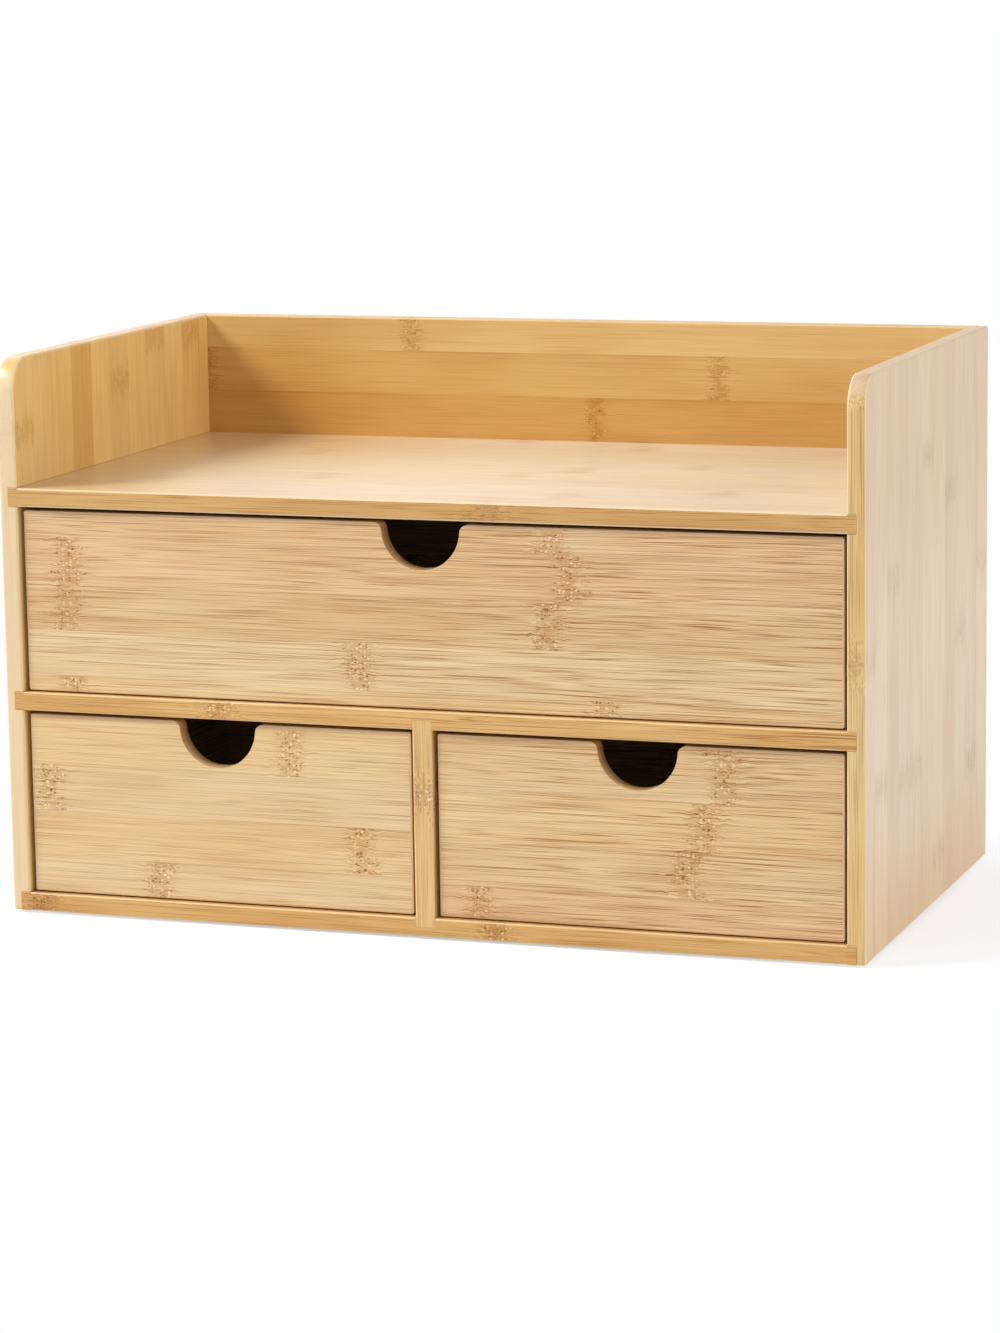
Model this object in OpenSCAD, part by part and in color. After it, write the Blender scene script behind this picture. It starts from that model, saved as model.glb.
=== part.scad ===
// Desktop mini drawers: a bamboo case with one wide drawer above two half-width drawers,
// and an open tray on top between raised side and back panels. Millimetres, +Z up.
// The origin lies on the table, under the middle of the case. The drawer fronts face -Y.

/* [Case] */
// Overall width across the side panels
case_w = 330; // [240:1:480]
// Overall depth, front edges to the back of the back panel
case_d = 190; // [140:1:300]
// Thickness of the side panels
side_t = 7; // [6:0.5:12]
// Thickness of the base and of both shelves
shelf_t = 7; // [6:0.5:12]
// Thickness of the back panel
back_t = 7; // [5:0.5:12]
// Thickness of the divider between the lower drawers
divider_t = 7.5; // [5:0.5:12]
// Clear height of the bay for the wide drawer
upper_bay_h = 69.5; // [50:0.5:120]
// Clear height of the bays for the two lower drawers
lower_bay_h = 69.5; // [50:0.5:120]
// Height of the side and back panels above the top shelf
gallery_h = 48; // [20:1:120]
// Depth of the housings that the shelves, divider and back panel sit in
housing_d = 3.5; // [2:0.5:4.5]
// Radius of the top front corner of each side panel
corner_r = 12; // [4:0.5:18]
// Width of the eased arris on the edges that show
ease = 0.6; // [0.2:0.1:1.2]

/* [Base pads] */
// Diameter of the anti-slip pads under the base
pad_d = 12; // [6:0.5:20]
// Thickness of the anti-slip pads
pad_t = 1; // [0.5:0.25:3]
// Distance from the case's edges to the middle of each pad
pad_inset = 20; // [12:1:40]

/* [Drawer fronts] */
// Thickness of the drawer fronts
front_t = 7; // [6:0.5:10]
// How far the fronts stand back from the front edges of the case
front_recess = 2; // [0.5:0.5:6]
// Gap at each end of a drawer front
side_gap = 1.4; // [0.6:0.1:3]
// Gap above a drawer front
top_gap = 1.5; // [0.6:0.1:3]
// How far a front's lower edge clears the lower edges of its drawer's walls
front_lift = 0.2; // [0:0.1:1]
// Radius of the finger notch
notch_r = 15; // [10:0.5:22]
// Distance from the top of the front down to the centre of the finger notch
notch_drop = 2; // [0:0.5:4]
// Radius of the rounded shoulders at the mouth of the finger notch
notch_shoulder_r = 3; // [1:0.5:6]

/* [Drawer boxes] */
// Thickness of the drawer's side and rear walls
wall_t = 5; // [4:0.5:8]
// How far the walls stand below the top of the front
wall_drop = 2; // [0:0.5:10]
// Depth of the rebate in each end of the front that a side wall sits in
front_lap = 3.5; // [1.5:0.5:5]
// Depth of the rebate in each side wall that the rear wall sits in
rear_lap = 2.5; // [1:0.5:3.5]
// Thickness of the drawer bottom
bottom_t = 3; // [2:0.5:6]
// Height of the drawer bottom above the lower edges of the walls
bottom_lift = 4; // [2:0.5:10]
// Depth of the groove that holds the drawer bottom
groove_d = 2.5; // [1:0.5:3]
// Slack of the drawer bottom in its grooves
bottom_slack = 0.1; // [0:0.05:0.3]
// Running gap under a drawer
slide_gap = 0.3; // [0.1:0.05:0.5]
// Gap between a closed drawer and the back panel
rear_gap = 0.3; // [0.1:0.1:1]

/* [Hidden] */
$fn = 96;
over = 1; // how far a cut runs past the face that it opens in

// Levels, from the table up
base_z = pad_t;
lower_bay_z = base_z + shelf_t;
middle_shelf_z = lower_bay_z + lower_bay_h;
upper_bay_z = middle_shelf_z + shelf_t;
top_shelf_z = upper_bay_z + upper_bay_h;
tray_z = top_shelf_z + shelf_t;
case_top_z = tray_z + gallery_h;
side_h = case_top_z - base_z;

// Depths, from the front edges back
front_y = -case_d / 2;
back_face_y = case_d / 2 - back_t;
shelf_d = back_face_y - front_y;

// Widths
inner_w = case_w - 2 * side_t;
housed_w = inner_w + 2 * housing_d;
lower_bay_w = (inner_w - divider_t) / 2;
lower_bay_x = (lower_bay_w + divider_t) / 2;

// Drawers
wide_w = inner_w - 2 * side_gap;
narrow_w = lower_bay_w - 2 * side_gap;
drawer_l = shelf_d - front_recess - rear_gap;
wide_h = upper_bay_h - slide_gap - top_gap;
narrow_h = lower_bay_h - slide_gap - top_gap;
side_wall_l = drawer_l - front_t + front_lap;
bottom_start_y = front_t - groove_d + bottom_slack;
bottom_end_y = drawer_l - wall_t + groove_d - bottom_slack;

shelf_wood = "#CFA968";
side_wood = "#DDBB85";
back_wood = "#D9A95D";
front_wood = "#E0BE8E";
wall_wood = "#E3C697";
bottom_wood = "#D8B27A";
pad_rubber = "#3A3A38";

// ---- Shared forms ----

// Rectangle with eased corners, from the origin
module eased_rect(w, h) {
    polygon([
        [ease, 0], [w - ease, 0], [w, ease], [w, h - ease],
        [w - ease, h], [ease, h], [0, h - ease], [0, ease]
    ]);
}

// Board with all its arrises eased, from the origin
module eased_board(w, d, h) {
    intersection() {
        linear_extrude(h) eased_rect(w, d);
        translate([0, d, 0]) rotate([90, 0, 0]) linear_extrude(d) eased_rect(w, h);
        rotate([90, 0, 90]) linear_extrude(w) eased_rect(d, h);
    }
}

// Tool that eases one arris, from the origin along +X
module arris_tool(length) {
    leg = ease * sqrt(2);
    rotate([45, 0, 0]) translate([0, -leg / 2, -leg / 2]) cube([length, leg, leg]);
}

// Tool that rounds the top front corner of a side panel and eases the arc's two arrises
module corner_tool() {
    half_t = side_t / 2;
    flare_r = corner_r - ease - over;
    rotate([90, 0, -90])
        rotate_extrude(angle = 90)
            polygon([
                [corner_r, ease - half_t], [corner_r, half_t - ease], [flare_r, half_t + over],
                [2 * corner_r, half_t + over], [2 * corner_r, -half_t - over], [flare_r, -half_t - over]
            ]);
}

// Housing across the inner face of a side panel for a shelf whose underside is at level z
module shelf_housing(z) {
    translate([-housing_d, front_y - over, z])
        cube([housing_d + over, shelf_d + over, shelf_t]);
}

// Groove along the middle of a shelf for the divider, depth d from level z up
module divider_groove(z, d) {
    translate([-divider_t / 2, front_y - over, z]) cube([divider_t, shelf_d + 2 * over, d]);
}

// ---- Case ----

// Right-hand panel: its inner face is at x = 0 before it is moved out
module side_panel() {
    color(side_wood)
        translate([inner_w / 2, 0, 0])
            difference() {
                translate([0, front_y, base_z]) eased_board(side_t, case_d, side_h);
                translate([side_t / 2, front_y + corner_r, case_top_z - corner_r]) corner_tool();
                // the shelf housings open towards the other panel
                mirror([1, 0, 0]) {
                    shelf_housing(middle_shelf_z);
                    shelf_housing(top_shelf_z);
                }
                // rebates for the base and the back panel
                translate([-over, front_y - over, base_z - over])
                    cube([housing_d + over, shelf_d + over, shelf_t + over]);
                translate([-over, back_face_y, base_z - over])
                    cube([housing_d + over, back_t + over, side_h + 2 * over]);
            }
}

module right_side() {
    side_panel();
}

module left_side() {
    mirror([1, 0, 0]) side_panel();
}

// Shelf between the side panels, its front arrises eased as far as the housings
module shelf(z) {
    color(shelf_wood)
        difference() {
            translate([-housed_w / 2, front_y, z]) cube([housed_w, shelf_d, shelf_t]);
            for (edge_z = [z, z + shelf_t])
                translate([-inner_w / 2, front_y, edge_z]) arris_tool(inner_w);
        }
}

module top_shelf() {
    shelf(top_shelf_z);
}

module middle_shelf() {
    difference() {
        shelf(middle_shelf_z);
        color(shelf_wood) divider_groove(middle_shelf_z - over, housing_d + over);
    }
}

module base_panel() {
    difference() {
        shelf(base_z);
        color(shelf_wood) divider_groove(lower_bay_z - housing_d, housing_d + over);
    }
}

module back_panel() {
    color(back_wood)
        difference() {
            translate([-housed_w / 2, back_face_y, base_z]) cube([housed_w, back_t, side_h]);
            translate([-inner_w / 2, back_face_y, case_top_z]) arris_tool(inner_w);
            translate([-inner_w / 2, back_face_y + back_t, case_top_z]) arris_tool(inner_w);
        }
}

module centre_divider() {
    color(side_wood)
        difference() {
            translate([-divider_t / 2, front_y, lower_bay_z - housing_d])
                cube([divider_t, shelf_d, lower_bay_h + 2 * housing_d]);
            for (edge_x = [-divider_t / 2, divider_t / 2])
                translate([edge_x, front_y, middle_shelf_z]) rotate([0, 90, 0]) arris_tool(lower_bay_h);
        }
}

module base_pads() {
    pad_x = case_w / 2 - pad_inset;
    pad_y = case_d / 2 - pad_inset;
    color(pad_rubber)
        for (x = [-pad_x, pad_x])
            for (y = [-pad_y, pad_y])
                translate([x, y, 0]) cylinder(d = pad_d, h = pad_t);
}

// ---- Drawers: the origin is at the middle of the lower edge, on the outer face of the front ----

// Outline of the finger notch, with z = 0 at the top of the front
module notch_outline() {
    shoulder_dz = notch_shoulder_r - notch_drop;
    shoulder_x = sqrt(pow(notch_r + notch_shoulder_r, 2) - pow(shoulder_dz, 2));
    share = notch_r / (notch_r + notch_shoulder_r);
    touch_x = share * shoulder_x;
    touch_z = -notch_drop - share * shoulder_dz;
    difference() {
        union() {
            translate([0, -notch_drop]) circle(notch_r);
            polygon([
                [-shoulder_x, over], [-shoulder_x, 0], [-touch_x, touch_z],
                [touch_x, touch_z], [shoulder_x, 0], [shoulder_x, over]
            ]);
        }
        for (side = [-1, 1])
            translate([side * shoulder_x, -notch_shoulder_r]) circle(notch_shoulder_r);
    }
}

// Groove for the drawer bottom, from the origin: length along X, cut into +Y
module bottom_groove(length) {
    translate([0, 0, bottom_lift]) cube([length, groove_d + over, bottom_t + bottom_slack]);
}

module drawer_front(w, h) {
    color(front_wood)
        difference() {
            translate([-w / 2, 0, front_lift]) eased_board(w, front_t, h - front_lift);
            // finger notch
            translate([0, front_t + over, h])
                rotate([90, 0, 0]) linear_extrude(front_t + 2 * over) notch_outline();
            // rebates for the side walls
            for (x = [-w / 2 - over, w / 2 - wall_t])
                translate([x, front_t - front_lap, -over])
                    cube([wall_t + over, front_lap + over, h + 2 * over]);
            translate([-w / 2 - over, front_t - groove_d, 0]) bottom_groove(w + 2 * over);
        }
}

// Right-hand wall of a drawer of width w
module drawer_side_wall(w, h) {
    wall_h = h - wall_drop;
    color(wall_wood)
        translate([w / 2 - wall_t, front_t - front_lap, 0])
            difference() {
                cube([wall_t, side_wall_l, wall_h]);
                // rebate for the rear wall
                translate([-over, side_wall_l - wall_t, -over])
                    cube([rear_lap + over, wall_t + over, wall_h + 2 * over]);
                translate([groove_d, -over, 0]) rotate([0, 0, 90]) bottom_groove(side_wall_l + 2 * over);
            }
}

module drawer_right_side(w, h) {
    drawer_side_wall(w, h);
}

module drawer_left_side(w, h) {
    mirror([1, 0, 0]) drawer_side_wall(w, h);
}

module drawer_back(w, h) {
    back_w = w - 2 * wall_t + 2 * rear_lap;
    color(wall_wood)
        translate([-back_w / 2, drawer_l - wall_t, 0])
            difference() {
                cube([back_w, wall_t, h - wall_drop]);
                translate([back_w + over, groove_d, 0])
                    rotate([0, 0, 180]) bottom_groove(back_w + 2 * over);
            }
}

module drawer_bottom(w) {
    bottom_w = w - 2 * (wall_t - groove_d + bottom_slack);
    color(bottom_wood)
        translate([-bottom_w / 2, bottom_start_y, bottom_lift])
            cube([bottom_w, bottom_end_y - bottom_start_y, bottom_t]);
}

// Places a drawer in its bay: the bay's middle x and floor level
module in_bay(x, z) {
    translate([x, front_y + front_recess, z + slide_gap]) children();
}

module top_bay() {
    in_bay(0, upper_bay_z) children();
}

module left_bay() {
    in_bay(-lower_bay_x, lower_bay_z) children();
}

module right_bay() {
    in_bay(lower_bay_x, lower_bay_z) children();
}

left_side();
right_side();
back_panel();
top_shelf();
middle_shelf();
base_panel();
centre_divider();
base_pads();
top_bay() drawer_front(wide_w, wide_h);  // top_drawer_front
top_bay() drawer_left_side(wide_w, wide_h);  // top_drawer_left_side
top_bay() drawer_right_side(wide_w, wide_h);  // top_drawer_right_side
top_bay() drawer_back(wide_w, wide_h);  // top_drawer_back
top_bay() drawer_bottom(wide_w);  // top_drawer_bottom
left_bay() drawer_front(narrow_w, narrow_h);  // left_drawer_front
left_bay() drawer_left_side(narrow_w, narrow_h);  // left_drawer_left_side
left_bay() drawer_right_side(narrow_w, narrow_h);  // left_drawer_right_side
left_bay() drawer_back(narrow_w, narrow_h);  // left_drawer_back
left_bay() drawer_bottom(narrow_w);  // left_drawer_bottom
right_bay() drawer_front(narrow_w, narrow_h);  // right_drawer_front
right_bay() drawer_left_side(narrow_w, narrow_h);  // right_drawer_left_side
right_bay() drawer_right_side(narrow_w, narrow_h);  // right_drawer_right_side
right_bay() drawer_back(narrow_w, narrow_h);  // right_drawer_back
right_bay() drawer_bottom(narrow_w);  // right_drawer_bottom
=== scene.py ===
import bpy
import math
import random
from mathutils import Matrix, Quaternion, Vector


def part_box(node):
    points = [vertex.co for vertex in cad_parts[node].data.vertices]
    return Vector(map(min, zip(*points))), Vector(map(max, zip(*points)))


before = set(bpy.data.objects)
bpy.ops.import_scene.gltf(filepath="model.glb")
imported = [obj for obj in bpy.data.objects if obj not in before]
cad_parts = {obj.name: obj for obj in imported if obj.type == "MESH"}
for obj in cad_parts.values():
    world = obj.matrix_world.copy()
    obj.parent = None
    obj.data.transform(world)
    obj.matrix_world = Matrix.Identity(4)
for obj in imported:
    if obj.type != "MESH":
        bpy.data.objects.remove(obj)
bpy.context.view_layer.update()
print("frame loaded:", len(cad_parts), "boards and pads")

perMetre = 1000  # millimetres


# Camera. Azimuth 0 looks square at the drawer fronts and 90 at the right-hand side.
cameraView = {
    "azimuth": 19.3,
    "elevation": 9.82,
    "roll": -0.86,
    "distance": 1.622,
    "aim": (-0.0032, 0.0009, 0.0846),
    "lens": 114.7,
    "sensor": 36,  # on the photograph's long side
    "nearest": 0.05,
}


def towards(azimuth, elevation):
    a = math.radians(azimuth)
    e = math.radians(elevation)
    return Vector((math.sin(a) * math.cos(e), -math.cos(a) * math.cos(e), math.sin(e)))


def addToScene(name, data):
    thing = bpy.data.objects.new(name, data)
    bpy.context.scene.collection.objects.link(thing)
    thing.rotation_mode = "QUATERNION"
    return thing


def placeCamera(view):
    data = bpy.data.cameras.new("camera")
    data.lens = view["lens"]
    data.sensor_width = view["sensor"]
    data.clip_start = view["nearest"]
    camera = addToScene("camera", data)
    back = towards(view["azimuth"], view["elevation"])
    camera.location = Vector(view["aim"]) + back * view["distance"]
    level = (-back).to_track_quat("-Z", "Y")
    camera.rotation_quaternion = level @ Quaternion((0, 0, 1), math.radians(view["roll"]))
    bpy.context.scene.camera = camera


placeCamera(cameraView)
print("camera placed")


# Shader tools. A Reading is a socket that takes part in Python sums.
class Reading:
    def __init__(self, finish, socket):
        self.finish = finish
        self.socket = socket

    def beside(self, name):
        return Reading(self.finish, self.socket.node.outputs[name])

    def math(self, operation, *others):
        return self.finish.node("ShaderNodeMath", {"operation": operation}, [self, *others])

    def __add__(self, other):
        return self.math("ADD", other)

    def __sub__(self, other):
        return self.math("SUBTRACT", other)

    def __rsub__(self, other):
        return self.finish.node("ShaderNodeMath", {"operation": "SUBTRACT"}, [other, self])

    def __mul__(self, other):
        return self.math("MULTIPLY", other)

    def __truediv__(self, other):
        return self.math("DIVIDE", other)

    __radd__ = __add__
    __rmul__ = __mul__


class Finish:  # the nodes of one material, or of the world
    def __init__(self, owner):
        owner.use_nodes = True
        self.owner = owner
        self.tree = owner.node_tree
        self.tree.nodes.clear()

    def node(self, kind, settings=None, inputs=(), output=0):
        made = self.tree.nodes.new(kind)
        for key, value in (settings or {}).items():
            if key == "stops":
                fillRamp(made.color_ramp, value)
            else:
                setattr(made, key, value)
        pairs = inputs.items() if isinstance(inputs, dict) else enumerate(inputs)
        for key, value in pairs:
            if isinstance(value, Reading):
                self.tree.links.new(value.socket, made.inputs[key])
            else:
                made.inputs[key].default_value = value
        return Reading(self, made.outputs[output]) if made.outputs else None

    def blend(self, amount, under, over, way="MIX"):
        settings = {"data_type": "RGBA", "blend_type": way, "clamp_factor": True}
        return self.node("ShaderNodeMix", settings, {0: amount, 6: under, 7: over}, 2)

    def fade(self, value, start, end, low=0.0, high=1.0):  # low at start, high at end
        settings = {"interpolation_type": "SMOOTHSTEP"}
        return self.node("ShaderNodeMapRange", settings, [value, start, end, low, high])

    def vector(self, x, y, z):
        return self.node("ShaderNodeCombineXYZ", inputs=[x, y, z])

    def noise(self, where, detail=1.0, roughness=0.5):
        inputs = {"Vector": where, "Scale": 1.0, "Detail": detail, "Roughness": roughness}
        return self.node("ShaderNodeTexNoise", inputs=inputs)

    def cells(self, where, dimensions="3D"):
        settings = {"voronoi_dimensions": dimensions}
        return self.node("ShaderNodeTexVoronoi", settings, {"Vector": where, "Scale": 1.0})

    def close(self, sockets):
        shader = self.node("ShaderNodeBsdfPrincipled", inputs=sockets)
        self.node("ShaderNodeOutputMaterial", inputs={"Surface": shader})
        return self.owner


def fillRamp(ramp, stops):
    ramp.interpolation = "CONSTANT"
    while len(ramp.elements) > 1:
        ramp.elements.remove(ramp.elements[-1])
    for index, (place, colour) in enumerate(stops):
        element = ramp.elements.new(place) if index else ramp.elements[0]
        element.position = place
        element.color = colour


def ink(code):  # a hex colour as the linear numbers that a socket holds
    parts = [int(code[i:i + 2], 16) / 255 for i in (0, 2, 4)]
    return [p / 12.92 if p < 0.04045 else ((p + 0.055) / 1.055) ** 2.4 for p in parts] + [1.0]


# Bamboo. Every board is glued up from strips; lengths in millimetres, colours in hex.
bambooLook = {
    "stripWidth": 17.5,
    "pit": "3C1A00",
    "pale": "FBEBC6",
    "cloud": "F1E2CA",
    # colour of paler edge faces; on the left side a painted highlight of its lit front edge
    "paleEdgeColour": "EED8B8",
    "endTint": "F2E6CC",
    "roughness": 0.34,
    "roughnessSwing": 0.05,
    "fibreRoughness": 0.06,
    "arrisRoughness": 0.3,
    "coatRoughness": 0.3,
    "bump": 0.35,
    "bumpDepth": 0.06,
    "fibreDepth": 0.5,  # beside a pit's depth of 1
}
patternSizes = {  # each pattern's length along the grain and its width across
    "drift": (130, 9),
    "twist": (4, 2.5),
    "lines": (95, 0.5),
    "threads": (44, 0.2),
    "streaks": (100, 1.3),
    "blush": (60, 3.2),
    "clouds": (80, 22),
    "patches": (3.5, 2.2),
    "flecks": (1.5, 0.85),
    "pits": (1.4, 1.1),
}
levels = {  # the value of a pattern at which a mark starts to show, and the one at which it is full
    "line": (0.55, 0.76),
    "thread": (0.53, 0.74),
    "lineShine": (0.44, 0.28),
    "threadShine": (0.48, 0.26),
    "streak": (0.3, 0.7),
    "blush": (0.48, 0.66),
    "cloud": (0.35, 0.65),
    "patch": (0.3, 0.6),
    "fleck": (0.5, 0.32),
    "darkFleck": (0.64, 0.72),
    "paleFleck": (0.4, 0.32),
    "pit": (0.25, 0.18),
    "pitKind": (0.6, 0.65),
    "dot": (0.4, 0.2),
    "glue": (0.484, 0.497),
    "gluePatch": (0.45, 0.6),
    "face": (0.75, 0.97),
    "arris": (0.97, 0.8),
    "arrisSide": (0.2, 0.5),
}
amounts = {  # how strongly each mark shows
    "line": 0.15,
    "thread": 1.35,
    "lineShine": 0.3,
    "streak": 0.18,
    "blush": 0.7,
    "shine": 0.4,
    "fibre": 0.56,
    "thinKnuckle": 0.4,
    "darkFleck": 0.75,
    "paleFleck": 0.85,
    "pit": 0.9,
    "glue": 0.35,
    "edgeClouds": 0.8,
    "ring": 0.25,
    "dot": 0.4,
    # painted highlight on the arrises
    "arris": 0.6,
}
knuckleShape = {
    "reach": 6.5,  # half the width of the band
    "core": 0.45,  # the share of that which is full
    "wander": 7,  # how far the band strays along the grain
    "wanderWidth": 6,
    "ragged": 16,  # how far its fringe does
    "raggedWidth": 0.5,
    "nearFrom": 14,  # where fibres start to twist
    "nearTo": 3,
    "ringFrom": 0.7,  # the fine line on the edge of a board
    "ringTo": 0.3,
}
fibreShape = {
    "shift": 900,  # the farthest that one strip's pattern is moved against the next one's
    "drift": 2.2,
    "twist": 2.4,
    "faintEnd": -110,  # the places along the grain of a board's two strengths
    "strongEnd": 120,
    "nearKnuckle": 0.2,
    "dotWidth": 0.6,
}
# each wood's arris colour is a painted highlight on the arrises
woods = {
    "tan": {"ground": "ECD6A8", "streak": "E5C08E", "blush": "ECCA98", "shine": "FBEBC8", "fibre": "A45E10",
            "knuckle": "C48A36", "fleck": "864A00", "edgeTint": "FAF4E4", "arris": "FFF0D6"},
    "gold": {"ground": "EECD92", "streak": "DFB26C", "blush": "E8BE7E", "shine": "F8DDAA", "fibre": "965E14",
             "knuckle": "B47A22", "fleck": "8A5000", "edgeTint": "FFFEFC", "arris": "F0D6A4"},
    # straw is worn by the left side only; its more golden colour than the right side's pale wood is painted
    # shade and warm bounce light from the case's inner corner
    "straw": {"ground": "F7D795", "streak": "EBC37C", "blush": "F1CB84", "shine": "FBE0A6", "fibre": "A87018",
              "knuckle": "C08A26", "fleck": "965E08", "edgeTint": "FFFFFF", "arris": "F4E0B8"},
    "honey": {"ground": "E3C386", "streak": "DAB26C", "blush": "DEB876", "shine": "F0D292", "fibre": "9C640A",
              "knuckle": "B87C10", "fleck": "855000", "edgeTint": "FAF5EA", "arris": "ECD09A"},
    "pale": {"ground": "F4E0C7", "streak": "ECD2B4", "blush": "F1D7BD", "shine": "FAECDA", "fibre": "9C7444",
             "knuckle": "B68C58", "fleck": "A67A44", "edgeTint": "FCF2C8", "arris": "F2E0BE"},
    # cream is paler than tan; on the top shelf it is partly the shelf's own tone and partly a painted
    # reflection of the bright room
    "cream": {"ground": "FBF0DE", "streak": "F6E4C8", "blush": "F9E8CE", "shine": "FFF2DC", "fibre": "B4864A",
              "knuckle": "C0924E", "fleck": "B08040", "edgeTint": "E2C68E", "arris": "F2DEB8"},
}
toneCodes = {  # what the colour of a strip is multiplied by
    "pale": "FFFFFF",
    "cream": "FFFCF2",
    "plain": "FBF7F0",
    "pink": "FBF2EC",
    "tan": "F6EEE2",
    "gold": "F8EEDC",
    "wheat": "F3E8D4",
    "amber": "EFDFC4",
    "rust": "EBD5AE",
}
farAway = 400  # the place of a knuckle that the board doesn't have

plainBoard = {  # what a board has unless it says otherwise
    "fibres": (1.0, 1.0),  # their strength at the board's two ends
    "edgeFibres": 0.95,
    "figure": 1.0,  # the strength of the broad streaks
    "clouds": 0.35,
    "stain": 0.42,  # how dark a knuckle is
    "flecks": 1.0,
    "knuckleWidth": 1.0,
    "bleach": 0.0,  # how pale the edges are
    "deeper": [],  # painted shade and reflection tints on the faces, and the places along the grain where each starts and is full
    "lacquer": 0.1,
    "round": 0.35,  # of the arrises
    "seed": 0,
    "below": 0,  # how many strips are drawn by lot under the listed ones
    "above": 0,  # and over them
}

# Each board: which way its grain runs, which way its strips lie beside each other, the first
# joint between strips, and from there up each strip's tone and the places of its knuckles.
boards = {
    "top_drawer_front": {
        "wood": "tan", "grain": "X", "across": "Z", "firstJoint": 73, "fibres": (0.85, 1.25), "round": 0.5,
        "strips": [("cream", -139, 69), ("pale", -24), ("tan", 48, -140), ("pink", 56, -139), ("pink", 49)],
    },
    "left_drawer_front": {
        "wood": "tan", "grain": "X", "across": "Z", "firstJoint": 4.5, "fibres": (0.55, 1.05), "round": 0.5,
        "strips": [("pale", -105), ("cream", -25), ("pale", -149), ("cream", -52), ("pink",)],
    },
    "right_drawer_front": {
        "wood": "tan", "grain": "X", "across": "Z", "firstJoint": 3, "fibres": (0.6, 1.15), "round": 0.5,
        "strips": [("pink", 20), ("plain", 99), ("cream", 106), ("plain", 113), ("tan", 109)],
    },
    "back_panel": {
        "wood": "honey", "grain": "X", "across": "Z", "firstJoint": 3, "fibres": (0.3, 0.3), "figure": 0.8,
        # painted shade: darker towards the left end, where the left side's shadow falls on the back
        "clouds": 0.65, "stain": 0.5, "flecks": 0.6, "knuckleWidth": 0.7, "deeper": [(-80, -130, "F4ECE0")],
        "seed": 11, "below": 9,
        "strips": [("rust", 8), ("wheat", 59, -158), ("pale", -69)],
    },
    "left_side": {
        # painted shade: the straw wood stands for the shaded, warmly lit inner face
        "wood": "straw", "grain": "Z", "across": "Y", "firstJoint": -96.5, "fibres": (0.35, 0.35),
        # painted highlight: paler edge faces for the left side's brightly lit front edge
        "clouds": 0.4, "stain": 0.35, "flecks": 0.25, "edgeFibres": 0.6, "bleach": 0.7,
        "strips": [("pale", 181), ("plain", 64), ("cream", 122), ("amber", 30, 228), ("cream", 96),
                   ("plain", 191), ("cream", 71), ("plain", 205), ("plain", 140), ("gold", 203),
                   ("gold", 88)],
    },
    "right_side": {
        "wood": "pale", "grain": "Z", "across": "Y", "firstJoint": -100, "fibres": (0.4, 0.4), "figure": 0.8,
        # painted shade and reflection: darker towards the top, more golden towards the bottom, where less of
        # the room's bright reflection washes the side out
        "stain": 0.25, "flecks": 0.25, "edgeFibres": 0.8, "deeper": [(100, 170, "F4F1E8"), (50, 8, "FDF2D6")],
        "strips": [("plain", 108), ("cream", 61), ("pink", 132), ("plain", 58), ("plain", 58), ("cream", 171),
                   ("cream", 20), ("pink", 153), ("cream", 98), ("plain", 45), ("cream", 120), ("pale", 76)],
    },
    "top_shelf": {
        # partly painted reflection: the cream wood is paler than the fronts' tan where the shelf's lacquer
        # reflects the bright room
        "wood": "cream", "grain": "X", "across": "Y", "firstJoint": -97.5, "fibres": (0.7, 0.7),
        # painted shadow: darker and warmer towards the left end, where the left side's shadow and the warm
        # light bounced off it fall on the shelf
        "stain": 0.28, "flecks": 0.2, "clouds": 0.25, "lacquer": 0.6, "deeper": [(-10, -115, "ECDDC2")],
        "strips": [("gold", 25), ("plain", 48, -150), ("cream", -118, 102), ("plain", -60), ("cream", 12),
                   ("cream", 30), ("pale", 72), ("cream", -90), ("cream", 130), ("pale", 34), ("pale", -20)],
    },
    "middle_shelf": {
        "wood": "gold", "grain": "X", "across": "Y", "firstJoint": -97.5, "seed": 21,
        "strips": [("gold", -80)], "above": 10,
    },
    "base_panel": {
        "wood": "gold", "grain": "X", "across": "Y", "firstJoint": -97.5, "seed": 22,
        "edgeFibres": 0.65,
        "strips": [("wheat", -152, 28)], "above": 10,
    },
    "centre_divider": {
        "wood": "gold", "grain": "Z", "across": "Y", "firstJoint": -97.5, "seed": 23,
        "edgeFibres": 0.8, "bleach": 0.15,
        "strips": [("cream", 54)], "above": 10,
    },
}
drawerBoards = {  # how the hidden boards of every drawer run
    "left_side": {"wood": "tan", "grain": "Y", "across": "Z"},
    "right_side": {"wood": "tan", "grain": "Y", "across": "Z"},
    "back": {"wood": "tan", "grain": "X", "across": "Z"},
    "bottom": {"wood": "cream", "grain": "X", "across": "Y", "fibres": (0.65, 0.65)},
}
drawnStrips = {"tones": ["pale", "cream", "plain", "pink", "tan", "gold"], "knuckleReach": 150}
drawerPlan = {
    "firstSeed": 40,
    "overhang": 4,  # how far the lowest strip starts under its board, at the least
    "staggers": 5,  # how many different starts there are, a millimetre apart
}


def growStrips(count, dice):
    reach = drawnStrips["knuckleReach"]
    return [(dice.choice(drawnStrips["tones"]), dice.uniform(-reach, reach)) for _ in range(count)]


def listStrips(board):
    dice = random.Random(board["seed"])
    return growStrips(board["below"], dice) + board["strips"] + growStrips(board["above"], dice)


def planDrawerBoards(plan):
    seed = plan["firstSeed"]
    for drawer in ("top_drawer", "left_drawer", "right_drawer"):
        for part, run in drawerBoards.items():
            name = drawer + "_" + part
            low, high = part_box(name)
            axis = "XYZ".index(run["across"])
            firstJoint = low[axis] * perMetre - plan["overhang"] - seed % plan["staggers"]
            count = math.ceil((high[axis] * perMetre - firstJoint) / bambooLook["stripWidth"])
            boards[name] = dict(run, firstJoint=firstJoint, seed=seed, below=count, strips=[])
            seed += 1


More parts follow.
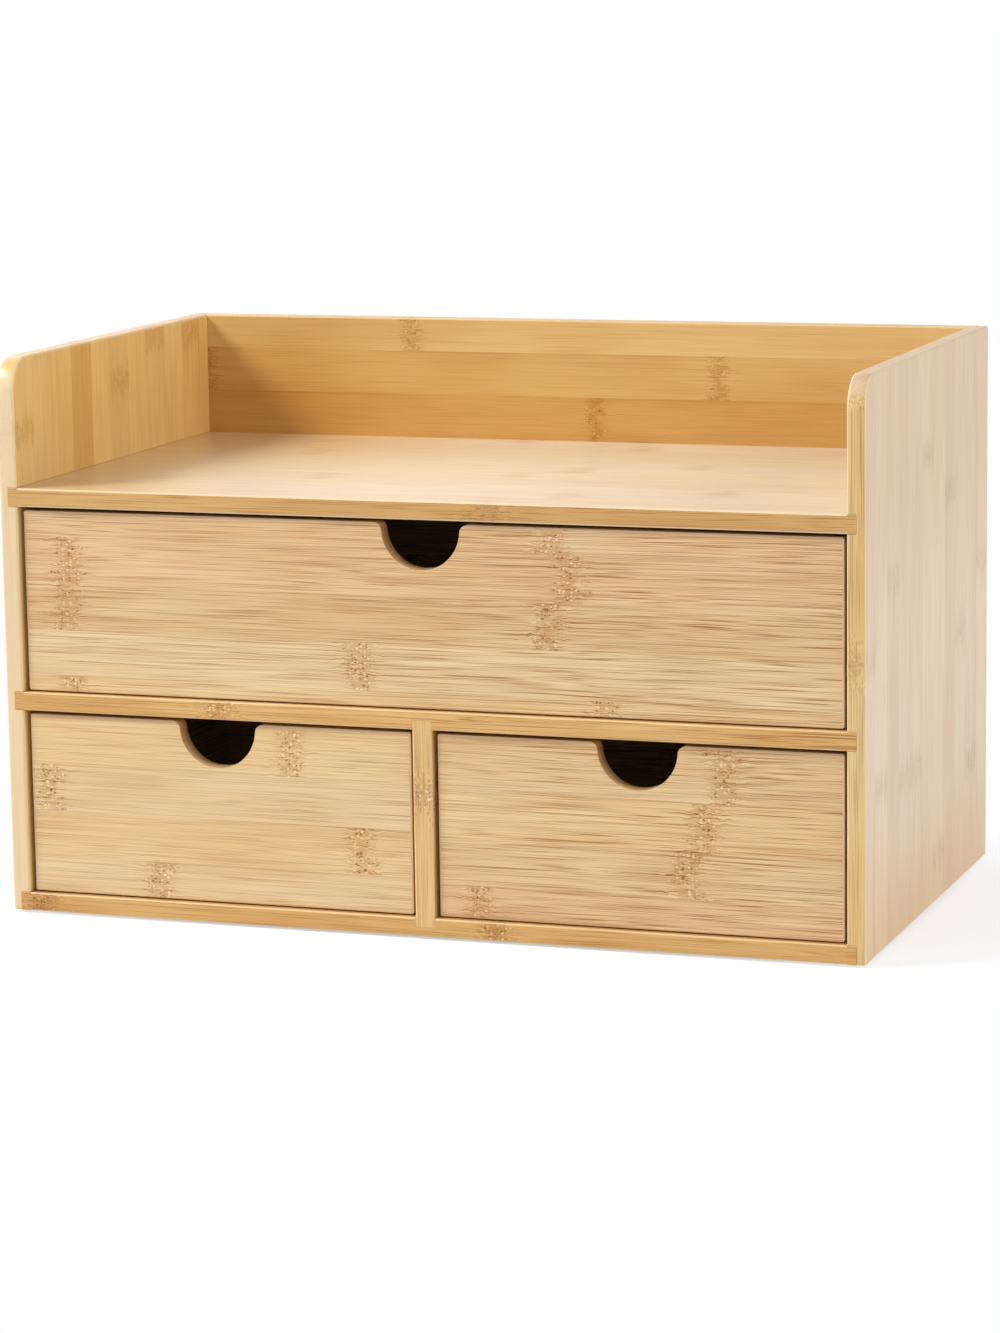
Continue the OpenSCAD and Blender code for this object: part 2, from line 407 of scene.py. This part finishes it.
class Bamboo(Finish):  # the finish of one board
    def __init__(self, name, board):
        super().__init__(bpy.data.materials.new(name))
        self.board = board
        self.wood = woods[board["wood"]]
        self.findPlaces()
        self.layStrips(name)
        self.growKnuckles()
        self.growFibres()
        self.growFlecks()

    def show(self, value, level, low=0.0, high=1.0):  # low where a mark starts, high where it is full
        return self.fade(value, *levels[level], low, high)

    def spread(self, pattern, side, layer):  # a place, measured in the sizes of a pattern
        length, width = patternSizes[pattern]
        return self.vector(self.run / length, side / width, layer / width)

    def waver(self, width, swing, detail):  # up to half the swing either way
        where = self.vector(self.start, self.across / width, self.sink / width)
        return self.noise(where, detail) * swing - swing / 2

    def cover(self, colour, coats, way="MIX"):  # coats are pairs of an amount and a hex colour
        for amount, code in coats:
            colour = self.blend(amount, colour, ink(code), way)
        return colour

    def findPlaces(self):
        spot = self.node("ShaderNodeTexCoord", output="Object")
        split = self.node("ShaderNodeSeparateXYZ", inputs=[spot])
        place = {axis: split.beside(axis) * perMetre for axis in "XYZ"}
        normal = self.node("ShaderNodeSeparateXYZ", inputs=[spot.beside("Normal")])
        facing = {axis: normal.beside(axis).math("ABSOLUTE") for axis in "XYZ"}
        grain = self.board["grain"]
        across = self.board["across"]
        through = (set("XYZ") - {grain, across}).pop()
        self.along = place[grain]
        self.across = place[across]
        self.depth = place[through]
        self.edgeFace = self.show(facing[across], "face")
        self.endFace = self.show(facing[grain], "face")
        flattest = facing["X"].math("MAXIMUM", facing["Y"]).math("MAXIMUM", facing["Z"])
        self.arris = self.show(flattest, "arris") * self.show(facing[through], "arrisSide")

    def layStrips(self, name):  # a strip has the places of its knuckles, a shift of its pattern, and a tone
        strips = listStrips(self.board)
        dice = random.Random(name)
        marks = []
        tones = []
        for index, (tone, *knuckles) in enumerate(strips):
            joint = index / len(strips)
            places = [(k + farAway) / (2 * farAway) for k in (knuckles + [farAway, farAway])[:2]]
            marks.append((joint, (*places, dice.random(), 1.0)))
            tones.append((joint, ink(toneCodes[tone])))
        self.rank = (self.across - self.board["firstJoint"]) / bambooLook["stripWidth"]
        share = self.rank / len(strips)
        ramp = self.node("ShaderNodeValToRGB", {"stops": marks}, [share])
        self.mark = self.node("ShaderNodeSeparateColor", inputs=[ramp])
        self.tone = self.node("ShaderNodeValToRGB", {"stops": tones}, [share])
        self.start = self.mark.beside("Blue") * fibreShape["shift"]
        self.run = self.along + self.start
        self.sink = self.depth + self.start

    def growKnuckles(self):  # each is a ragged band across its strip
        shape = knuckleShape
        bent = self.along + self.waver(shape["wanderWidth"], shape["wander"], detail=1.0)
        ragged = self.waver(shape["raggedWidth"], shape["ragged"], detail=2.0)
        first = bent - (self.mark * (2 * farAway) - farAway)
        second = bent - (self.mark.beside("Green") * (2 * farAway) - farAway)
        gap = first.math("ABSOLUTE").math("MINIMUM", second.math("ABSOLUTE"))
        patches = self.noise(self.spread("patches", self.across, self.sink))
        reach = self.board["knuckleWidth"] * shape["reach"]
        band = self.fade(gap + ragged, reach, reach * shape["core"])
        self.knuckle = band * self.show(patches, "patch", amounts["thinKnuckle"])
        self.nearby = self.fade(gap, shape["nearFrom"], shape["nearTo"])
        self.ring = self.fade(gap, shape["ringFrom"], shape["ringTo"])

    def growFibres(self):  # fibres drift a little, and twist beside a knuckle
        shape = fibreShape
        drift = self.noise(self.spread("drift", self.across, self.sink)) * shape["drift"]
        twist = self.noise(self.spread("twist", self.across, self.sink)) - 0.5
        side = self.across + drift + twist * self.nearby * shape["twist"]
        layer = self.sink + drift
        lines = self.noise(self.spread("lines", side, layer), detail=0.0)
        threads = self.noise(self.spread("threads", side, layer), detail=0.0)
        faint, strong = self.board["fibres"]
        strength = self.fade(self.along, shape["faintEnd"], shape["strongEnd"], faint, strong)
        strength = self.fade(self.edgeFace, 0.0, 1.0, strength, self.board["edgeFibres"])
        strength = strength + self.nearby * shape["nearKnuckle"]
        dark = self.show(lines, "line") * amounts["line"] + self.show(threads, "thread") * amounts["thread"]
        light = self.show(lines, "lineShine") * amounts["lineShine"] + self.show(threads, "threadShine")
        self.fibre = dark * strength
        self.shine = light * strength
        self.streaks = self.noise(self.spread("streaks", side, layer), detail=3.0, roughness=0.7)
        self.blush = self.noise(self.spread("blush", side, layer), detail=2.0)
        self.clouds = self.noise(self.spread("clouds", self.across, self.sink), detail=2.0)
        self.side = side
        self.layer = layer

    def growFlecks(self):  # flecks and pits lie in the knuckles, dots on the ends, glue between strips
        share = self.board["flecks"]
        flecks = self.cells(self.spread("flecks", self.side, self.layer))
        kind = self.node("ShaderNodeSeparateColor", inputs=[flecks.beside("Color")])
        body = self.show(flecks, "fleck") * self.knuckle * share
        self.darkFleck = body * self.show(kind, "darkFleck")
        self.paleFleck = body * self.show(kind, "paleFleck")
        pits = self.cells(self.spread("pits", self.side, self.layer))
        kind = self.node("ShaderNodeSeparateColor", inputs=[pits.beside("Color")])
        self.pit = self.show(pits, "pit") * self.show(kind, "pitKind") * self.knuckle * share
        width = fibreShape["dotWidth"]
        dots = self.cells(self.vector(self.across / width, self.sink / width, 0.0), "2D")
        self.dot = self.show(dots, "dot")
        fromMiddle = (self.rank.math("FRACT") - 0.5).math("ABSOLUTE")
        self.glue = self.show(fromMiddle, "glue") * self.show(self.clouds, "gluePatch")

    def woodColour(self):
        wood = self.wood
        look = bambooLook
        figure = self.board["figure"]
        swing = amounts["streak"] * figure
        return self.cover(ink(wood["ground"]), [
            (self.show(self.streaks, "streak", 0.5 - swing, 0.5 + swing), wood["streak"]),
            (self.show(self.blush, "blush", 0.0, amounts["blush"] * figure), wood["blush"]),
            (self.shine * amounts["shine"], wood["shine"]),
            (self.fibre * amounts["fibre"], wood["fibre"]),
            (self.knuckle * self.board["stain"], wood["knuckle"]),
            (self.darkFleck * amounts["darkFleck"], wood["fleck"]),
            (self.paleFleck * amounts["paleFleck"], look["pale"]),
            (self.pit * amounts["pit"], look["pit"]),
            (self.glue * amounts["glue"], wood["fibre"]),
        ])

    def boardColour(self):  # the wood in its strips' tones, with what faces, edges and ends add, painted shade and reflection tints along the grain, and a painted highlight on the arrises
        board = self.board
        wood = self.wood
        look = bambooLook
        edge = self.edgeFace
        colour = self.blend(1.0, self.woodColour(), self.tone, "MULTIPLY")
        cloudy = self.fade(edge, 0.0, 1.0, board["clouds"], amounts["edgeClouds"])
        clouds = self.show(self.clouds, "cloud", 0.0, cloudy)
        colour = self.cover(colour, [(clouds, look["cloud"]), (edge, wood["edgeTint"])], "MULTIPLY")
        # paler edge faces; on the left side a painted highlight
        colour = self.cover(colour, [(edge * board["bleach"], look["paleEdgeColour"])])
        # painted shade and reflection: each tint darkens or warms a stretch of a face along the grain
        for start, full, tint in board["deeper"]:
            colour = self.cover(colour, [(self.fade(self.along, start, full) * (1 - edge), tint)], "MULTIPLY")
        colour = self.cover(colour, [(self.endFace, look["endTint"])], "MULTIPLY")
        ring = amounts["ring"] * (1 - board["bleach"])
        return self.cover(colour, [
            (edge * self.ring * ring, wood["fibre"]),
            (self.endFace * self.dot * amounts["dot"], wood["fibre"]),
            # painted highlight: the arrises paler where they would catch the light
            (self.arris * amounts["arris"], wood["arris"]),
        ])

    def material(self):
        look = bambooLook
        height = self.fibre * -look["fibreDepth"] - self.pit
        bump = self.node("ShaderNodeBump", inputs={
            "Strength": look["bump"],
            "Distance": look["bumpDepth"] / perMetre,
            "Height": height,
        })
        swing = look["roughnessSwing"]
        roughness = self.show(self.streaks, "streak", look["roughness"] - swing, look["roughness"] + swing)
        rougher = self.fibre * look["fibreRoughness"] + self.arris * look["arrisRoughness"]
        return self.close({
            "Base Color": self.boardColour(),
            "Roughness": roughness + rougher,
            "Normal": bump,
            "Coat Weight": self.board["lacquer"],
            "Coat Roughness": look["coatRoughness"],
        })


padLook = {
    "colour": "2B2A29",
    "worn": "3A3937",
    "grain": 0.6,
    "grainLevels": (0.3, 0.7),  # where it is smoothest and roughest
    "roughness": 0.8,
    "smoothest": 0.72,
    "bump": 0.3,
    "bumpDepth": 0.1,
}


def padRubber(look):
    f = Finish(bpy.data.materials.new("padRubber"))
    spot = f.node("ShaderNodeTexCoord", output="Object")
    scaling = {"Vector": spot, "Scale": perMetre / look["grain"]}
    grain = f.noise(f.node("ShaderNodeVectorMath", {"operation": "SCALE"}, scaling))
    colour = f.blend(grain, ink(look["colour"]), ink(look["worn"]))
    relief = {"Strength": look["bump"], "Distance": look["bumpDepth"] / perMetre, "Height": grain}
    roughness = f.fade(grain, *look["grainLevels"], look["smoothest"], look["roughness"])
    bump = f.node("ShaderNodeBump", inputs=relief)
    return f.close({"Base Color": colour, "Roughness": roughness, "Normal": bump})


def dress(node, material):
    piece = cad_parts[node]
    for slot in piece.material_slots:
        slot.material = material


planDrawerBoards(drawerPlan)
boards = {name: plainBoard | board for name, board in boards.items()}
for name, board in boards.items():
    dress(name, Bamboo("bamboo_" + name, board).material())
dress("base_pads", padRubber(padLook))
print("finishes made:", len(boards), "boards and the pads")


# Arrises: each sharp edge gets a small round, so that it catches the light.
arrisRound = {"weld": 0.02, "flat": 0.5, "angle": 25, "segments": 2}  # angles in degrees


def roundArrises(piece, size, width):
    weld = piece.modifiers.new("weld", "WELD")
    weld.merge_threshold = size["weld"] / perMetre
    flat = piece.modifiers.new("flat", "DECIMATE")
    flat.decimate_type = "DISSOLVE"
    flat.angle_limit = math.radians(size["flat"])
    bevel = piece.modifiers.new("round", "BEVEL")
    bevel.limit_method = "ANGLE"
    bevel.angle_limit = math.radians(size["angle"])
    bevel.width = width / perMetre
    bevel.segments = size["segments"]
    bevel.harden_normals = True


for name, board in boards.items():
    roundArrises(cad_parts[name], arrisRound, board["round"])
print("arrises rounded")


# Studio, in metres: soft lamps, and a pale floor that looks white but keeps the shadow.
lamps = {
    "keyLamp": {"azimuth": -60, "elevation": 40, "distance": 2.5, "size": 0.79, "watts": 50},
    "frontLamp": {"azimuth": 15, "elevation": 20, "distance": 2.2, "size": 1.6, "watts": 7.8},
    "rightLamp": {"azimuth": 85, "elevation": 22, "distance": 1.8, "size": 1.2, "watts": 13.4},
    "rearLamp": {"azimuth": 218, "elevation": 38, "distance": 1.8, "size": 1.2, "watts": 7.2},
}
lampAim = (0, 0, 0.1)
whiteLight = (1, 1, 1, 1)
room = {
    "ambient": 0.2,
    "paper": "E6E4E1",
    "paperSeen": "D2D5DA",
    "glow": 0.5,
    "halfWidth": 6.0,
    "squeeze": (0.58, 1.0, 1.0),  # makes the fade as long and deep as the case
    "fadeFrom": 0.09,
    "fadeTo": 0.18,
}


def placeLamp(name, lamp):
    data = bpy.data.lights.new(name, "AREA")
    data.shape = "DISK"
    data.size = lamp["size"]
    data.energy = lamp["watts"]
    made = addToScene(name, data)
    outward = towards(lamp["azimuth"], lamp["elevation"])
    made.location = Vector(lampAim) + outward * lamp["distance"]
    made.rotation_quaternion = (-outward).to_track_quat("-Z", "Y")


def seenRays(f):  # 1 on rays from the camera and on reflected or refracted ones
    path = f.node("ShaderNodeLightPath")
    direct = path.beside("Is Camera Ray").math("MAXIMUM", path.beside("Is Glossy Ray"))
    return direct.math("MAXIMUM", path.beside("Is Transmission Ray"))


def lightWorld(ambient):
    f = Finish(bpy.data.worlds.new("studio"))
    bpy.context.scene.world = f.owner
    light = f.node("ShaderNodeBackground", inputs={"Color": whiteLight, "Strength": ambient})
    white = f.node("ShaderNodeBackground", inputs={"Color": whiteLight, "Strength": 1.0})
    both = f.node("ShaderNodeMixShader", inputs=[seenRays(f), light, white])
    f.node("ShaderNodeOutputWorld", inputs={"Surface": both})


def floorPaper(look):  # white far away, and near the case a bright paper that takes the shadow
    f = Finish(bpy.data.materials.new("floorPaper"))
    seen = seenRays(f)
    spot = f.node("ShaderNodeTexCoord", output="Object")
    squeezed = f.node("ShaderNodeVectorMath", {"operation": "MULTIPLY"}, [spot, look["squeeze"]])
    away = f.node("ShaderNodeVectorMath", {"operation": "LENGTH"}, [squeezed], "Value")
    far = f.fade(away, look["fadeFrom"], look["fadeTo"])
    paper = f.node("ShaderNodeBsdfDiffuse", inputs={"Color": ink(look["paper"])})
    shaded = f.node("ShaderNodeBsdfDiffuse", inputs={"Color": ink(look["paperSeen"])})
    glow = f.node("ShaderNodeEmission", inputs={"Color": whiteLight, "Strength": look["glow"]})
    glowing = f.node("ShaderNodeAddShader", inputs=[shaded, glow])
    near = f.node("ShaderNodeMixShader", inputs=[seen, paper, glowing])
    white = f.node("ShaderNodeEmission", inputs={"Color": whiteLight, "Strength": 1.0})
    both = f.node("ShaderNodeMixShader", inputs=[far * seen, near, white])
    f.node("ShaderNodeOutputMaterial", inputs={"Surface": both})
    return f.owner


def layFloor(look):
    half = look["halfWidth"]
    corners = [(-half, -half, 0), (half, -half, 0), (half, half, 0), (-half, half, 0)]
    mesh = bpy.data.meshes.new("floor")
    mesh.from_pydata(corners, [], [(0, 1, 2, 3)])
    mesh.materials.append(floorPaper(look))
    addToScene("floor", mesh)


for name, lamp in lamps.items():
    placeLamp(name, lamp)
lightWorld(room["ambient"])
layFloor(room)
bpy.context.scene.view_settings.view_transform = "Standard"
print("studio lit")
